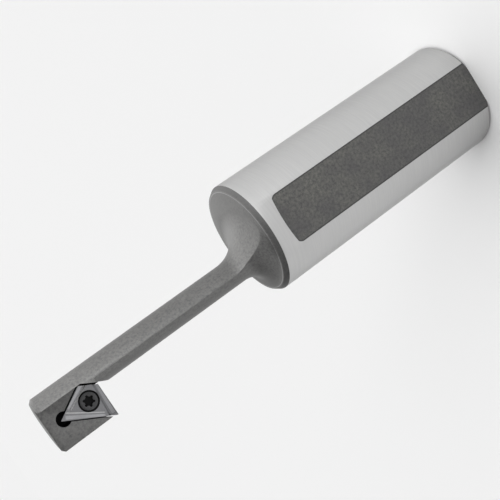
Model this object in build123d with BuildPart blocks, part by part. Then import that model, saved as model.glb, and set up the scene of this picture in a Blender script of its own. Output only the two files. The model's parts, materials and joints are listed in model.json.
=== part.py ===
from build123d import *
import os
from math import cos, radians, sin, sqrt, tan

# Back-boring bar with a screwed-on triangular insert, standing on the rear end of its shank.
# The origin is the centre of the shank's rear end face, Z runs up the shank to the cutting head,
# the clamping flat faces the front (-Y) and the cutting corner points to -X.
# Sketches lie in the rake plane: its x runs along the shank, its y towards the cutting corner.

# Shank
SHANK_DIAMETER = 25.0
SHANK_LENGTH = 60.0
REAR_CHAMFER = 0.5
FRONT_CHAMFER_LENGTH = 1.0
FRONT_CHAMFER_DROP = 0.7
FLAT_DEPTH = 1.25
FLAT_SETBACK = 4.2
FLAT_CUTTER_RADIUS = 16.0

# Neck, turned about the shank axis
NECK_RADIUS = 6.5
NECK_FILLET = 5.0

# Head, turned about its own axis together with the other side of the neck
HEAD_OFFSET = 6.9
HEAD_RADIUS = 5.95
HEAD_LENGTH = 11.6
HEAD_FILLET = 8.0
HEAD_FILLET_STEP = 0.15
HEAD_CHAMFER = 0.6

# The cutting edge, in front of the shank's face and behind the back of the head
EDGE_REACH = 40.8
EDGE_OVERHANG = 0.8

# Insert, an equilateral triangle about this inscribed circle with one corner ground off
INSCRIBED_RADIUS = 3.175
INSERT_THICKNESS = 2.38
INSERT_RELIEF = 7.0
NOSE_RADIUS = 0.1
TRIM_DISTANCE = 3.03
INSERT_CENTRE_Y = 7.65
INSERT_HOLE_RADIUS = 1.4
INSERT_SINK_RADIUS = 2.1
INSERT_SINK_ANGLE = 70.0

# Chip groove along each side of the insert, wide and deep at its lead, narrow where it stops
GROOVE_LEAD = 0.9
GROOVE_STOP = 2.6
LEAD_LAND = 0.25
LEAD_WIDTH = 1.35
LEAD_DEPTH = 0.3
STOP_LAND = 0.06
STOP_WIDTH = 0.8
STOP_DEPTH = 0.16
BEVEL_SHARE = 0.5
FLANK_SHARE = 0.25

# Seat in the head
SEAT_STEP = 0.3
WALL_THICKNESS = 2.4
SIDE_GAP = 0.25
TRIM_GAP = 0.6
RELIEF_HOLE_RADIUS = 1.5
RELIEF_HOLE_BACK = 0.7
RELIEF_HOLE_EXTRA = 1.5

# Clamp screw
SCREW_RADIUS = 1.25
THREAD_CLEARANCE = 0.05
SCREW_LENGTH = 5.4
SCREW_HEAD_INSET = 0.35
SCREW_HEAD_DROP = 0.12
SCREW_SINK_CLEARANCE = 0.04
SCREW_POINT_CHAMFER = 0.25
LOBE_CORE_RADIUS = 0.87
LOBE_RADIUS = 0.26
LOBE_CIRCLE_RADIUS = 0.93
LOBE_TURN = 24.5
RECESS_DEPTH = 0.9

# Cuts run past the metal by this much
CUT_OVER = 1.0

os.makedirs("parts", exist_ok=True)

shank_radius = SHANK_DIAMETER / 2
cutting_edge = SHANK_LENGTH + EDGE_REACH
head_back = cutting_edge + EDGE_OVERHANG
head_end = head_back + HEAD_LENGTH
head_side = HEAD_OFFSET + HEAD_RADIUS

rake = Plane(origin=(0, 0, 0), x_dir=(0, 0, 1), z_dir=(0, -1, 0))
head_axis = Axis(rake.from_local_coords((0, HEAD_OFFSET, 0)), (0, 0, 1))

# The insert's top face lies in the rake plane, its hole at the middle of the inscribed circle
insert_x = cutting_edge + INSCRIBED_RADIUS
seat = Plane(
    origin=rake.from_local_coords((insert_x, INSERT_CENTRE_Y, 0)),
    x_dir=rake.x_dir,
    z_dir=rake.z_dir,
)
above_seat = HEAD_RADIUS + INSERT_THICKNESS + CUT_OVER

# The insert's seated sides and the neck end of the pocket all lie 30 degrees off the shank axis
lean_cos = cos(radians(30))
lean_sin = sin(radians(30))

# Bar body: shank, neck and head turned about the shank axis
with BuildPart() as bar_body:
    with BuildSketch(rake):
        with BuildLine():
            Polyline(
                (0, 0),
                (0, shank_radius - REAR_CHAMFER),
                (REAR_CHAMFER, shank_radius),
                (SHANK_LENGTH - FRONT_CHAMFER_LENGTH, shank_radius),
                (SHANK_LENGTH, shank_radius - FRONT_CHAMFER_DROP),
                (SHANK_LENGTH, NECK_RADIUS + NECK_FILLET),
            )
            CenterArc((SHANK_LENGTH + NECK_FILLET, NECK_RADIUS + NECK_FILLET), NECK_FILLET, 180, 90)
            Polyline(
                (SHANK_LENGTH + NECK_FILLET, NECK_RADIUS),
                (head_back, NECK_RADIUS),
                (head_back, head_side + CUT_OVER),
                (head_end, head_side + CUT_OVER),
                (head_end, 0),
                (0, 0),
            )
        make_face()
    revolve(axis=Axis.Z)

    # Turned again about the head axis: the neck keeps only what lies inside both circles
    fillet_start = SHANK_LENGTH + HEAD_FILLET_STEP
    clear_of_shank = 2 * HEAD_OFFSET + shank_radius + CUT_OVER
    with BuildSketch(rake):
        with BuildLine():
            Polyline(
                (-CUT_OVER, HEAD_OFFSET),
                (-CUT_OVER, clear_of_shank),
                (fillet_start, clear_of_shank),
                (fillet_start, head_side + HEAD_FILLET),
            )
            CenterArc((fillet_start + HEAD_FILLET, head_side + HEAD_FILLET), HEAD_FILLET, 180, 90)
            Polyline(
                (fillet_start + HEAD_FILLET, head_side),
                (head_end - HEAD_CHAMFER, head_side),
                (head_end, head_side - HEAD_CHAMFER),
                (head_end, HEAD_OFFSET),
                (-CUT_OVER, HEAD_OFFSET),
            )
        make_face()
    revolve(axis=head_axis, mode=Mode.INTERSECT)

    # Clamping flat, milled in from the rear and ending in the cutter's arc
    flat_end = SHANK_LENGTH - FLAT_SETBACK - FLAT_CUTTER_RADIUS
    with BuildSketch(rake.offset(shank_radius - FLAT_DEPTH)):
        with Locations(((flat_end - CUT_OVER) / 2, 0)):
            Rectangle(flat_end + CUT_OVER, 2 * FLAT_CUTTER_RADIUS)
        with Locations((flat_end, 0)):
            Circle(FLAT_CUTTER_RADIUS)
    extrude(amount=FLAT_DEPTH + CUT_OVER, mode=Mode.SUBTRACT)

    # Head floor just under the rake plane, leaving a wall along the back of the head
    trim_wall = TRIM_DISTANCE + TRIM_GAP
    wall_y = HEAD_OFFSET - HEAD_RADIUS + WALL_THICKNESS - INSERT_CENTRE_Y
    wall_x = -(trim_wall + wall_y * lean_cos) / lean_sin
    floor_x = head_end - insert_x + CUT_OVER
    floor_y = head_side - INSERT_CENTRE_Y + CUT_OVER
    with BuildSketch(seat.offset(-SEAT_STEP)):
        with BuildLine():
            Polyline(
                (wall_x, wall_y),
                (floor_x, wall_y),
                (floor_x, floor_y),
                (wall_x - (floor_y - wall_y) * lean_cos / lean_sin, floor_y),
                close=True,
            )
        make_face()
    extrude(amount=above_seat, mode=Mode.SUBTRACT)

    # Pocket milled straight in from the cutting side, down to the seat
    side_wall = INSCRIBED_RADIUS + SIDE_GAP
    root_y = -(side_wall + trim_wall) / sqrt(3)
    run_y = floor_y - root_y
    run_x = -run_y * lean_cos / lean_sin
    with BuildSketch(seat.offset(-INSERT_THICKNESS)):
        with BuildLine():
            Polyline(
                (2 * side_wall, 0),
                (2 * side_wall + run_x, run_y),
                (side_wall - trim_wall + run_x, root_y + run_y),
                (side_wall - trim_wall, root_y),
                close=True,
            )
        make_face()
    extrude(amount=above_seat, mode=Mode.SUBTRACT)

    # Drilled relief under the insert's front corner
    with BuildSketch(seat.offset(-INSERT_THICKNESS - RELIEF_HOLE_EXTRA)):
        with Locations((2 * INSCRIBED_RADIUS - RELIEF_HOLE_BACK, 0)):
            Circle(RELIEF_HOLE_RADIUS)
    extrude(amount=above_seat, mode=Mode.SUBTRACT)

    # Tapped hole through the seat
    with BuildSketch(seat):
        Circle(SCREW_RADIUS + THREAD_CLEARANCE)
    extrude(amount=-HEAD_RADIUS - CUT_OVER, mode=Mode.SUBTRACT)
bar_body.part.label = "bar_body"
export_step(bar_body.part, "parts/bar_body.step")

# Groove cutter for the side away from the ground-off corner, run from the front corner
side_length = 2 * sqrt(3) * INSCRIBED_RADIUS
groove_length = side_length - GROOVE_LEAD - GROOVE_STOP
along = Plane(
    origin=(2 * INSCRIBED_RADIUS - GROOVE_LEAD * lean_cos, GROOVE_LEAD * lean_sin, 0),
    x_dir=(-lean_sin, -lean_cos, 0),
    z_dir=(-lean_cos, lean_sin, 0),
)
with BuildPart() as groove:
    for distance, land, width, depth in (
        (0, LEAD_LAND, LEAD_WIDTH, LEAD_DEPTH),
        (groove_length, STOP_LAND, STOP_WIDTH, STOP_DEPTH),
    ):
        with BuildSketch(along.offset(distance)):
            with BuildLine():
                Polyline(
                    (land, CUT_OVER),
                    (land, 0),
                    (land + BEVEL_SHARE * width, -depth),
                    (land + (1 - FLANK_SHARE) * width, -depth),
                    (land + width, 0),
                    (land + width, CUT_OVER),
                    close=True,
                )
            make_face()
    loft()

# Insert: tapered triangle, one corner ground off, countersunk hole and a groove along each side
with BuildPart(seat) as insert:
    with BuildSketch(seat):
        RegularPolygon(INSCRIBED_RADIUS, 3, major_radius=False)
        fillet(vertices(), NOSE_RADIUS)
        with PolarLocations(TRIM_DISTANCE + INSCRIBED_RADIUS, 1, start_angle=-120):
            Rectangle(2 * INSCRIBED_RADIUS, side_length, mode=Mode.SUBTRACT)
    extrude(amount=-INSERT_THICKNESS, taper=INSERT_RELIEF)
    CounterSinkHole(INSERT_HOLE_RADIUS, INSERT_SINK_RADIUS, counter_sink_angle=INSERT_SINK_ANGLE)
    with PolarLocations(0, 3):
        add(groove.part, mode=Mode.SUBTRACT)
insert.part.label = "insert"
export_step(insert.part, "parts/insert.step")

# Clamp screw: its cone runs parallel to the insert's countersink, its shank in the tapped hole
half_sink = radians(INSERT_SINK_ANGLE / 2)
cone_top_radius = INSERT_SINK_RADIUS - SCREW_SINK_CLEARANCE / cos(half_sink)
screw_head_radius = INSERT_SINK_RADIUS - SCREW_HEAD_INSET
rim_z = (screw_head_radius - cone_top_radius) / tan(half_sink)
cone_end_z = (SCREW_RADIUS - cone_top_radius) / tan(half_sink)
screw_end_z = -SCREW_HEAD_DROP - SCREW_LENGTH
screw_side = Plane(origin=seat.origin, x_dir=seat.x_dir, z_dir=-seat.y_dir)
with BuildPart() as clamp_screw:
    with BuildSketch(screw_side):
        with BuildLine():
            Polyline(
                (0, -SCREW_HEAD_DROP),
                (screw_head_radius, -SCREW_HEAD_DROP),
                (screw_head_radius, rim_z),
                (SCREW_RADIUS, cone_end_z),
                (SCREW_RADIUS, screw_end_z + SCREW_POINT_CHAMFER),
                (SCREW_RADIUS - SCREW_POINT_CHAMFER, screw_end_z),
                (0, screw_end_z),
                close=True,
            )
        make_face()
    revolve(axis=Axis(seat.origin, seat.z_dir))
    with BuildSketch(seat.offset(-SCREW_HEAD_DROP)):
        Circle(LOBE_CORE_RADIUS)
        with PolarLocations(LOBE_CIRCLE_RADIUS, 6, start_angle=LOBE_TURN):
            Circle(LOBE_RADIUS)
    extrude(amount=-RECESS_DEPTH, mode=Mode.SUBTRACT)
clamp_screw.part.label = "clamp_screw"
export_step(clamp_screw.part, "parts/clamp_screw.step")
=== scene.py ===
import json
import math

import bpy
from mathutils import Matrix, Vector


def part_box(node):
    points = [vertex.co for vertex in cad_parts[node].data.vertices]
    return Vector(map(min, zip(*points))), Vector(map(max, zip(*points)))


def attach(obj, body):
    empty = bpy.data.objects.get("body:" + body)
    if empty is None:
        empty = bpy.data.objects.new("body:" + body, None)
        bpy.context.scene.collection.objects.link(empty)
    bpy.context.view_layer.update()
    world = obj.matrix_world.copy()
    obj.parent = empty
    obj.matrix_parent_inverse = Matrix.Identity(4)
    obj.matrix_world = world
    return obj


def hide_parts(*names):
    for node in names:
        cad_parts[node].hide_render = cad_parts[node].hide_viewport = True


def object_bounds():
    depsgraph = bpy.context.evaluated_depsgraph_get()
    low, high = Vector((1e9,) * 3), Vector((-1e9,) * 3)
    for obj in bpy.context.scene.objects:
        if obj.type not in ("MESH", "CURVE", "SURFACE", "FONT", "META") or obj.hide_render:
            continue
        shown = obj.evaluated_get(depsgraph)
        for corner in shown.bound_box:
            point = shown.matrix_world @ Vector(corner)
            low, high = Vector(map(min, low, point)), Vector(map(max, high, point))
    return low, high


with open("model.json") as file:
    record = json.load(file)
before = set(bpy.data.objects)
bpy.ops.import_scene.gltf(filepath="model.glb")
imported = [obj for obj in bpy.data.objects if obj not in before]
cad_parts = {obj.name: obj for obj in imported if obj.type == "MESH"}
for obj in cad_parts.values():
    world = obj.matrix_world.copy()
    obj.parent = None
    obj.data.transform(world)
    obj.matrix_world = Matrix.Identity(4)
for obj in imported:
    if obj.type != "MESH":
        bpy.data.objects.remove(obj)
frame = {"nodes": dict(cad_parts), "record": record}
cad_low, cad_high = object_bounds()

MM = 0.001

# The bar stands on its rear end: Z up the shank, the flat in front (-Y), the cutting corner to -X
mounts = {mount["name"]: mount for mount in frame["record"]["mounts"]}
shank_radius = mounts["shank"]["dims"]["r_mm"] * MM
shank_length = mounts["shank"]["dims"]["length_mm"] * MM
flat_depth = -mounts["clamp_flat"]["pos_m"][1]
insert_low, insert_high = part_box("insert")
screw_low, screw_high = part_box("clamp_screw")
screw_axis = ((screw_low.x + screw_high.x) / 2, (screw_low.z + screw_high.z) / 2)

# Front end of the shank: a chamfer, and the ring that the facing tool left inside it; the chamfer is
# darkened as painted shade and the ring lightened as a painted highlight on its crest
REAR_CHAMFER = 0.5 * MM
FRONT_CHAMFER_DROP = 0.7 * MM
FACING_RING_RADIUS = 11.5 * MM
FACING_RING_WIDTH = 0.16 * MM
front_rim = REAR_CHAMFER + shank_length

# Clamping flat: its front end is the arc of the milling cutter, whose corners are rounded
FLAT_END_BELOW_RIM = 3.2 * MM
FLAT_CUTTER_RADIUS = 16.0 * MM
CUTTER_CORNER = 1.0 * MM
flat_half_width = math.sqrt(shank_radius ** 2 - flat_depth ** 2)
flat_end = front_rim - FLAT_END_BELOW_RIM

# Head: its open floor lies a step below the insert's top, and the insert sits in a deeper seat
SEAT_STEP = 0.3 * MM
SINK_RADIUS = 2.15 * MM
HEAD_RADIUS = 5.95 * MM
RELIEF_HOLE_FROM = 3.0 * MM
head_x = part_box("bar_body")[0].x + HEAD_RADIUS

# Widths of the broken edges, as far as short edges leave room; the insert's edges stay sharp
BODY_EDGE_BREAK = 0.07 * MM
INSERT_EDGE_BREAK = 0
SCREW_EDGE_BREAK = 0.04 * MM
EDGE_BREAK_ANGLE = math.radians(25)

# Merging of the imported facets
MERGE_DISTANCE = 0.001 * MM
FLAT_WITHIN = math.radians(0.3)
SMOOTH_BELOW = math.radians(28)

# Slopes of the insert's faces, as the share of the normal that points out of its top
FLANK_SLOPE = 0.6
GROOVE_SLOPE = 0.86
TOP_SLOPE = 0.97

# Fine marks: grains a metre in the noise, and how far they stand out
GRIND_SCALE = 900
CARBIDE_SCALE = 1800
SPECK_RELIEF = 0.004 * MM
GRIND_RELIEF = 0.002 * MM


# ---------------------------------------------------------------- shader maths


class Value:
    """A number that changes over a surface."""

    def __init__(self, graph, socket):
        self.graph = graph
        self.socket = socket

    def _math(self, operation, first, second=None):
        inputs = {0: first}
        if second is not None:
            inputs[1] = second
        return self.graph.node("ShaderNodeMath", {"operation": operation}, inputs)

    def __add__(self, other):
        return self._math("ADD", self, other)

    def __radd__(self, other):
        return self._math("ADD", other, self)

    def __sub__(self, other):
        return self._math("SUBTRACT", self, other)

    def __rsub__(self, other):
        return self._math("SUBTRACT", other, self)

    def __mul__(self, other):
        return self._math("MULTIPLY", self, other)

    def __rmul__(self, other):
        return self._math("MULTIPLY", other, self)

    def __pow__(self, power):
        return self._math("POWER", self, power)

    def __abs__(self):
        return self._math("ABSOLUTE", self)

    def at_least(self, lowest):
        return self._math("MAXIMUM", self, lowest)


class Graph:
    """A shader's nodes, joined by plain steps."""

    def __init__(self, tree):
        self.tree = tree

    def node(self, kind, settings=None, inputs=None, output=0):
        made = self.tree.nodes.new(kind)
        for name, value in (settings or {}).items():
            setattr(made, name, value)
        for socket, value in (inputs or {}).items():
            if isinstance(value, Value):
                self.tree.links.new(value.socket, made.inputs[socket])
            else:
                made.inputs[socket].default_value = value
        return Value(self, made.outputs[output])

    def fade(self, value, start, end, first=0.0, last=1.0):
        """Runs smoothly from first to last while the value goes from start to end."""
        inputs = {"Value": value, "From Min": start, "From Max": end, "To Min": first, "To Max": last}
        return self.node("ShaderNodeMapRange", {"interpolation_type": "SMOOTHSTEP"}, inputs)


class Finish(Graph):
    """One surface finish: a Principled material."""

    def __init__(self, name, **uniform):
        self.material = bpy.data.materials.new(name)
        self.material.use_nodes = True
        super().__init__(self.material.node_tree)
        self.shader = self.tree.nodes["Principled BSDF"]
        for socket, value in uniform.items():
            self.shader.inputs[socket.replace("_", " ")].default_value = value

    def place(self, stretch=(1, 1, 1)):
        """The point on the piece, in metres, stretched along the three axes."""
        point = self.node("ShaderNodeTexCoord", output="Object")
        return self.node("ShaderNodeVectorMath", {"operation": "MULTIPLY"}, {0: point, 1: stretch})

    def position(self):
        """The point's x, y and z as three numbers."""
        parts = {"Vector": self.place()}
        return [self.node("ShaderNodeSeparateXYZ", {}, parts, axis) for axis in "XYZ"]

    def noise(self, scale, detail=2.0, roughness=0.5, stretch=(1, 1, 1)):
        inputs = {
            "Vector": self.place(stretch),
            "Scale": scale,
            "Detail": detail,
            "Roughness": roughness,
        }
        return self.node("ShaderNodeTexNoise", {}, inputs)

    def shades(self, factor, dark, light):
        """Goes from the first colour to the second while the factor goes from 0 to 1."""
        settings = {"data_type": "RGBA"}
        return self.node("ShaderNodeMix", settings, {0: factor, 6: dark, 7: light}, output=2)

    def feed(self, socket, value):
        self.tree.links.new(value.socket, self.shader.inputs[socket])

    def bump(self, height, distance):
        inputs = {"Height": height, "Distance": distance, "Strength": 1.0}
        self.feed("Normal", self.node("ShaderNodeBump", {}, inputs))


def grey(level, tint=(1.0, 1.0, 1.0)):
    """A grey of this level as RGBA, with a slight tint."""
    return (level * tint[0], level * tint[1], level * tint[2], 1.0)


# ---------------------------------------------------------------- finishes


def ground_steel():
    """Cylindrically ground shank: bright, with very fine marks round it."""
    finish = Finish("ground_steel", Metallic=1.0, Specular_Tint=grey(0.65))
    marks = finish.noise(GRIND_SCALE, 3.0, 0.6, (0.15, 0.15, 6))
    clouds = finish.noise(60, 2.0, 0.5, (1, 1, 0.4))
    tone = finish.shades(clouds, grey(0.56), grey(0.63, (1, 0.998, 0.98)))
    finish.feed("Base Color", finish.shades(finish.fade(marks, 0.2, 0.8), grey(0.54), tone))
    finish.feed("Roughness", 0.34 + 0.08 * marks)
    finish.bump(marks, GRIND_RELIEF)
    return finish.material


def milled_flat():
    """The clamping flat: blackened, mottled and finely speckled, with painted shade along its edge."""
    finish = Finish("milled_flat", Metallic=0.6)
    specks = finish.fade(finish.noise(1600, 3.0, 0.7), 0.3, 0.7)
    clouds = finish.fade(finish.noise(150, 4.0, 0.6), 0.3, 0.7)
    tone = finish.shades(clouds, grey(0.13, (1.0, 0.97, 0.98)), grey(0.185, (1.0, 0.99, 0.90)))
    speckled = finish.shades(specks, grey(0.085), tone)

    x, y, z = finish.position()
    past_arc_centre = (z - (flat_end - FLAT_CUTTER_RADIUS)).at_least(0)
    from_side = flat_half_width - abs(x)
    from_end = FLAT_CUTTER_RADIUS - (x * x + past_arc_centre * past_arc_centre) ** 0.5
    side_corner = (CUTTER_CORNER - from_side).at_least(0)
    end_corner = (CUTTER_CORNER - from_end).at_least(0)
    inwards = CUTTER_CORNER - (side_corner * side_corner + end_corner * end_corner) ** 0.5
    # Painted shade: a dark line within a few tenths of a millimetre of the flat's whole edge, standing
    # in for the shade at the foot of its end wall
    edge_shaded = finish.shades(finish.fade(inwards, 0.1 * MM, 0.4 * MM), grey(0.06), speckled)

    # Outside the cutter's rounded corners the metal is ground bright like the shank
    milled = finish.fade(inwards, -0.05 * MM, 0.05 * MM)
    finish.feed("Base Color", finish.shades(milled, grey(0.58), edge_shaded))
    finish.feed("Metallic", 1.0 - 0.4 * milled)
    finish.feed("Roughness", 0.42 + 0.2 * specks)
    finish.bump(specks, SPECK_RELIEF)
    return finish.material


def satin_black():
    """Front face, neck and head: a thin black finish, with a painted highlight on the facing tool's
    ring, painted shade on the front chamfer and painted shade in the insert's seat.
    """
    finish = Finish("satin_black", Metallic=0.85, Specular_Tint=grey(0.8))
    specks = finish.fade(finish.noise(2000, 3.0, 0.7), 0.25, 0.7)
    clouds = finish.noise(150, 3.0, 0.5)
    tone = finish.shades(clouds, grey(0.182, (1.0, 0.99, 0.965)), grey(0.24, (1.0, 0.995, 0.97)))
    speckled = finish.shades(specks, grey(0.13), tone)

    x, y, z = finish.position()
    radius = (x * x + y * y) ** 0.5
    # Painted shade darkens the front chamfer; a painted highlight lightens the crest of the facing
    # tool's ring
    at_front = finish.fade(z, front_rim + 2.0 * MM, front_rim + 3.0 * MM, 1.0, 0.0)
    chamfer_foot = shank_radius - FRONT_CHAMFER_DROP
    chamfer = at_front * finish.fade(radius, chamfer_foot, chamfer_foot + 0.1 * MM, 0.0, 0.6)
    ring = at_front * finish.fade(abs(radius - FACING_RING_RADIUS), 0.0, FACING_RING_WIDTH, 0.45, 0.0)
    front_painted_light = finish.shades(ring, finish.shades(chamfer, speckled, grey(0.08)), grey(0.55))

    # Painted shade: the walls of the insert's seat and of the relief hole in front of it are coloured
    # near black
    below_floor = finish.fade(y, SEAT_STEP + 0.1 * MM, SEAT_STEP + 0.4 * MM)
    from_head_axis = ((x - head_x) * (x - head_x) + y * y) ** 0.5
    inside_head = finish.fade(from_head_axis, HEAD_RADIUS - 0.6 * MM, HEAD_RADIUS - 0.3 * MM, 1.0, 0.0)
    near_seat = finish.fade(z, insert_low.z - 0.7 * MM, insert_low.z - 0.3 * MM)
    near_seat = near_seat * finish.fade(z, cad_high.z - 0.5 * MM, cad_high.z - 0.2 * MM, 1.0, 0.0)
    above_seat = finish.fade(y, insert_high.y, insert_high.y + 0.1 * MM, 1.0, 0.0)
    hole_foot = insert_low.z + RELIEF_HOLE_FROM
    in_relief_hole = finish.fade(z, hole_foot, hole_foot + 0.5 * MM)
    seat = below_floor * inside_head * near_seat * above_seat.at_least(in_relief_hole)
    # The seat's walls get the near-black painted shade
    finish.feed("Base Color", finish.shades(seat, front_painted_light, grey(0.004)))
    finish.feed("Roughness", 0.36 + 0.14 * specks)
    finish.bump(specks, SPECK_RELIEF)
    return finish.material


def carbide(name, dark, light, roughness):
    """Cemented carbide with fine marks from grinding."""
    finish = Finish(name, Metallic=1.0)
    marks = finish.noise(CARBIDE_SCALE, 2.0, 0.6, (1, 1, 5))
    finish.feed("Base Color", finish.shades(marks, dark, light))
    finish.feed("Roughness", roughness + 0.08 * marks)
    return finish.material


def ground_carbide():
    """The insert's top and sides."""
    return carbide("ground_carbide", grey(0.20, (1, 1, 1.04)), grey(0.27, (1, 1, 1.03)), 0.26)


def groove_floor():
    """The floors of the insert's chip grooves, lighter than its top."""
    return carbide("groove_floor", grey(0.34, (1, 1, 1.03)), grey(0.42, (1, 1, 1.03)), 0.3)


def groove_flank_highlight():
    """The steep inner sides of the chip grooves, lightened as a painted highlight standing in for the
    streak of light along their curve.
    """
    finish = Finish("groove_flank_highlight", Metallic=0.6, Roughness=0.6)
    marks = finish.noise(CARBIDE_SCALE, 2.0, 0.6)
    finish.feed("Base Color", finish.shades(marks, grey(0.66), grey(0.8)))
    return finish.material


def black_oxide():
    """The screw's head."""
    finish = Finish("black_oxide", Metallic=0.7)
    marks = finish.noise(2500, 2.0, 0.6)
    finish.feed("Base Color", finish.shades(marks, grey(0.055), grey(0.10, (1, 1, 1.04))))
    finish.feed("Roughness", 0.3 + 0.15 * marks)
    return finish.material


def recess_shade_black():
    """Painted shade: near black for the insert's countersink and the recess and shaft of the screw,
    which lie in shade.
    """
    finish = Finish("recess_shade_black", Metallic=0.0, Roughness=0.6)
    finish.shader.inputs["Specular IOR Level"].default_value = 0.15
    marks = finish.noise(2000, 2.0, 0.5)
    finish.feed("Base Color", finish.shades(marks, grey(0.006), grey(0.014)))
    return finish.material


# ---------------------------------------------------------------- pieces


def select_none():
    for thing in bpy.context.selected_objects:
        thing.select_set(False)


def surfaced_copy(node, name, edge_break):
    """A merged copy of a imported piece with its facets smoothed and, if asked, its edges broken."""
    source = frame["nodes"][node]
    piece = source.copy()
    piece.data = source.data.copy()
    piece.name = name
    piece.parent = None
    for key in list(piece.keys()):
        del piece[key]
    bpy.context.scene.collection.objects.link(piece)
    select_none()
    piece.select_set(True)
    bpy.context.view_layer.objects.active = piece
    bpy.ops.mesh.customdata_custom_splitnormals_clear()
    bpy.ops.object.mode_set(mode="EDIT")
    bpy.ops.mesh.select_all(action="SELECT")
    bpy.ops.mesh.remove_doubles(threshold=MERGE_DISTANCE)
    bpy.ops.mesh.dissolve_limited(angle_limit=FLAT_WITHIN)
    bpy.ops.object.mode_set(mode="OBJECT")
    if edge_break > 0:
        rounding = piece.modifiers.new("edge_break", "BEVEL")
        rounding.width = edge_break
        rounding.segments = 2
        rounding.limit_method = "ANGLE"
        rounding.angle_limit = EDGE_BREAK_ANGLE
        rounding.use_clamp_overlap = True
        bpy.ops.object.modifier_apply(modifier=rounding.name)
    bpy.ops.object.shade_smooth_by_angle(angle=SMOOTH_BELOW)
    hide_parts(node)
    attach(piece, "root")
    return piece


def assign_finishes(piece, finishes, choose):
    """Gives each face the finish that choose(face centre, face normal) names."""
    piece.data.materials.clear()
    for finish in finishes:
        piece.data.materials.append(finish)
    for face in piece.data.polygons:
        face.material_index = choose(face.center, face.normal)


def bar_body():
    piece = surfaced_copy("bar_body", "bar_body_surface", BODY_EDGE_BREAK)
    shank, flat, rest = range(3)

    def choose(centre, normal):
        if -normal.y > 0.999 and abs(-centre.y - flat_depth) < 0.05 * MM:
            return flat
        reach = math.hypot(centre.x, centre.y)
        outward = Vector((centre.x, centre.y, 0)).normalized().dot(normal)
        on_shank = reach > shank_radius - 0.15 * MM and centre.z < front_rim + 0.05 * MM
        return shank if on_shank and outward > 0.9 else rest

    assign_finishes(piece, [ground_steel(), milled_flat(), satin_black()], choose)


def insert():
    piece = surfaced_copy("insert", "insert_surface", INSERT_EDGE_BREAK)
    top_and_sides, countersink, grooves, flanks = range(4)

    def choose(centre, normal):
        inward = Vector((screw_axis[0] - centre.x, 0, screw_axis[1] - centre.z))
        if inward.length < SINK_RADIUS and normal.dot(inward) > 0.1 * inward.length:
            return countersink
        if GROOVE_SLOPE < -normal.y < TOP_SLOPE:
            return grooves
        is_flank = FLANK_SLOPE < -normal.y <= GROOVE_SLOPE and normal.z > -0.4
        return flanks if is_flank else top_and_sides

    # The countersink takes the near-black painted shade
    finishes = [ground_carbide(), recess_shade_black(), groove_floor(), groove_flank_highlight()]
    assign_finishes(piece, finishes, choose)


def clamp_screw():
    piece = surfaced_copy("clamp_screw", "clamp_screw_surface", SCREW_EDGE_BREAK)
    head_top, recess_and_shaft = range(2)

    def choose(centre, normal):
        return head_top if centre.y < screw_low.y + SCREW_EDGE_BREAK else recess_and_shaft

    # The recess and shaft take the near-black painted shade
    assign_finishes(piece, [black_oxide(), recess_shade_black()], choose)


# ---------------------------------------------------------------- studio

# Floor: it lies just under the bar, and its outer strips slope up
FLOOR_SIZE = 16.0
FLOOR_RISE = 0.3
FLOOR_GAP = 0.002 * MM
FLOOR_STRIPS = 4

# Tent: brighter to the right, darker towards the top, with a broad window on the right
TENT_LEVEL = 0.74
TENT_SWING = 0.45
TENT_FALL = 0.38
WINDOW_SIDE = (0.958, 0.287, 0)
WINDOW_LEVEL = 1.05
WINDOW_FALL = 0.6

# Lamps: where each shines from, how wide it looks, how strong it is
KEY_FROM = (-0.25, -0.15, 0.96)
KEY_SPREAD = math.radians(110)
KEY_POWER = 0.68
FRONT_FROM = (0.646, -0.718, 0.259)
FRONT_SPREAD = math.radians(27)
FRONT_POWER = 0.42

# Camera
CAMERA_EYE = Vector((19.35, -176.14, 126.41)) * MM
CAMERA_VIEW = Vector((-0.11331, 0.93014, -0.34929))
CAMERA_UPRIGHT = Vector((0.83189, -0.10341, -0.54523))
CAMERA_SENSOR = 36.0
CAMERA_LENS = 66.84


def floor():
    """A pale floor whose edges rise a little, so that it fills the picture to its corners."""
    select_none()
    bpy.ops.mesh.primitive_grid_add(
        x_subdivisions=FLOOR_STRIPS,
        y_subdivisions=FLOOR_STRIPS,
        size=FLOOR_SIZE,
        location=(0, 0, cad_low.z - FLOOR_GAP),
    )
    ground = bpy.context.object
    ground.name = "studio_floor"
    for vertex in ground.data.vertices:
        if max(abs(vertex.co.x), abs(vertex.co.y)) > 0.4 * FLOOR_SIZE:
            vertex.co.z += FLOOR_RISE
    finish = Finish("studio_floor", Base_Color=grey(0.9), Roughness=0.9)
    finish.shader.inputs["Specular IOR Level"].default_value = 0.1
    ground.data.materials.append(finish.material)


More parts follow.
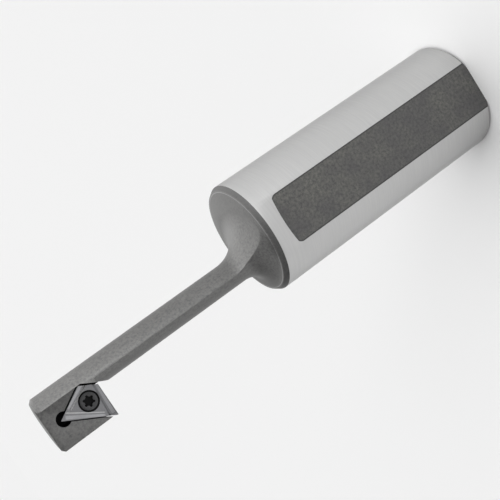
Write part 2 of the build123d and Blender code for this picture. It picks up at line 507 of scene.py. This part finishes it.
def sun(name, power, source, spread):
    """A lamp far away in the direction of the source, which looks as wide as the spread."""
    light = bpy.data.lights.new(name, "SUN")
    light.energy = power
    light.angle = spread
    holder = bpy.data.objects.new(name, light)
    bpy.context.scene.collection.objects.link(holder)
    holder.rotation_mode = "QUATERNION"
    holder.rotation_quaternion = (-Vector(source)).to_track_quat("-Z", "Y")


def studio():
    """A tent with a broad window on its right side, a broad key overhead and a low front light."""
    world = bpy.data.worlds.new("studio")
    bpy.context.scene.world = world
    world.use_nodes = True
    tent = Graph(world.node_tree)
    direction = tent.node("ShaderNodeTexCoord", output="Generated")
    settings = {"operation": "DOT_PRODUCT"}
    rightwards = tent.node("ShaderNodeVectorMath", settings, {0: direction, 1: WINDOW_SIDE}, "Value")
    upwards = tent.node("ShaderNodeSeparateXYZ", {}, {"Vector": direction}, "Z").at_least(0)
    window = tent.fade(rightwards, 0.0, 0.35) * (WINDOW_LEVEL - WINDOW_FALL * upwards)
    strength = TENT_LEVEL + TENT_SWING * rightwards - TENT_FALL * upwards + window
    backdrop = world.node_tree.nodes["Background"]
    backdrop.inputs["Color"].default_value = grey(1.0)
    world.node_tree.links.new(strength.socket, backdrop.inputs["Strength"])

    sun("key", KEY_POWER, KEY_FROM, KEY_SPREAD)
    sun("front_light", FRONT_POWER, FRONT_FROM, FRONT_SPREAD)


def camera():
    """In front of the flat and above the head, with the head at the lower left of the picture."""
    side = CAMERA_VIEW.cross(CAMERA_UPRIGHT).normalized()
    upright = side.cross(CAMERA_VIEW).normalized()
    turn = Matrix((side, upright, -CAMERA_VIEW.normalized())).transposed()
    lens = bpy.data.cameras.new("camera")
    lens.sensor_width = CAMERA_SENSOR
    lens.lens = CAMERA_LENS
    lens.clip_start = 0.01
    lens.clip_end = 20.0
    holder = bpy.data.objects.new("camera", lens)
    bpy.context.scene.collection.objects.link(holder)
    holder.rotation_mode = "QUATERNION"
    holder.location = CAMERA_EYE
    holder.rotation_quaternion = turn.to_quaternion()
    bpy.context.scene.camera = holder


bar_body()
insert()
clamp_screw()
floor()
studio()
camera()
bpy.context.scene.view_settings.view_transform = "Standard"
